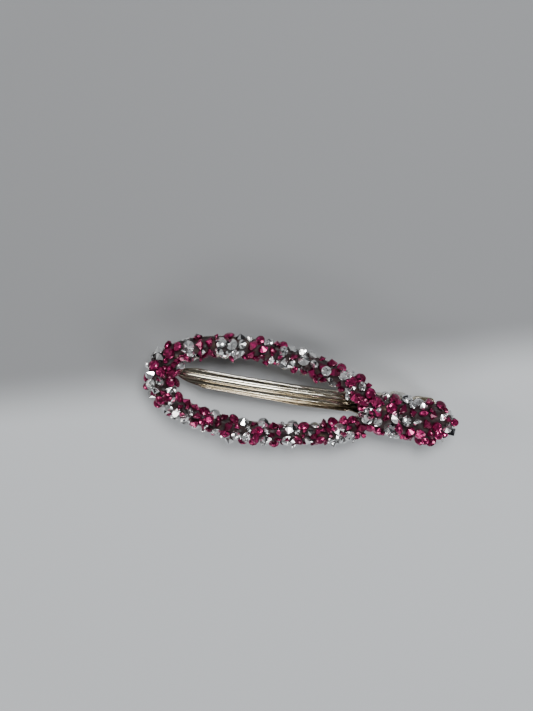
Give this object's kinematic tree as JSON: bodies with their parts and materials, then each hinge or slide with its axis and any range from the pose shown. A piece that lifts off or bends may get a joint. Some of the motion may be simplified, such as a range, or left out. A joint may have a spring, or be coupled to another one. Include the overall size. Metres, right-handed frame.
{
  "type": "rhinestone beak hair clip",
  "caption": "Sprung beak hair clip: open teardrop frame and tail crusted with pointed rhinestones over a slim ribbed lower jaw that pivots open for a lock of hair.",
  "frame": {"origin": "on the table under the middle of the closed clip's bounding box, stored level with the thumb lever's flat underside on the table, which it does not hold by itself", "axes": "+X along the clip from the jaw's point to the tail, +Z out of the decorated face, +Y across the loop"},
  "size_m": [0.084, 0.0307, 0.0135],
  "materials": {
    "pale_gold_metal": "polished pale-gold plating on stamped steel sheet, fine lengthwise drawing lines",
    "steel": "plain drawn steel",
    "adhesive": "cured clear-brown jewellery adhesive with metallic dust",
    "fuchsia_stone": "foil-backed faceted glass, fuchsia",
    "silver_stone": "foil-backed faceted glass, silver"
  },
  "bodies": {
    "frame": {"upper_frame": "pale_gold_metal", "adhesive_bed": "adhesive", "hinge_pin": "steel", "torsion_spring": "steel", "tip_fuchsia_stones": "fuchsia_stone", "tip_silver_stones": "silver_stone", "upper_front_fuchsia_stones": "fuchsia_stone", "upper_front_silver_stones": "silver_stone", "upper_rear_fuchsia_stones": "fuchsia_stone", "upper_rear_silver_stones": "silver_stone", "lower_front_fuchsia_stones": "fuchsia_stone", "lower_front_silver_stones": "silver_stone", "lower_rear_fuchsia_stones": "fuchsia_stone", "lower_rear_silver_stones": "silver_stone", "heel_fuchsia_stones": "fuchsia_stone", "heel_silver_stones": "silver_stone", "tail_root_fuchsia_stones": "fuchsia_stone", "tail_root_silver_stones": "silver_stone", "tail_end_fuchsia_stones": "fuchsia_stone", "tail_end_silver_stones": "silver_stone"},
    "jaw": {"lower_jaw": "pale_gold_metal"}
  },
  "joints": [
    {"name": "jaw_hinge", "type": "hinge", "parent": "frame", "child": "jaw", "pos_m": [0.0264, 0, 0.0029], "axis": [0, -1, 0], "range_deg": [0, 24], "stiffness_Nm_per_rad": 0.15, "springref_deg": -22.92, "deforming": ["torsion_spring"]}
  ]
}
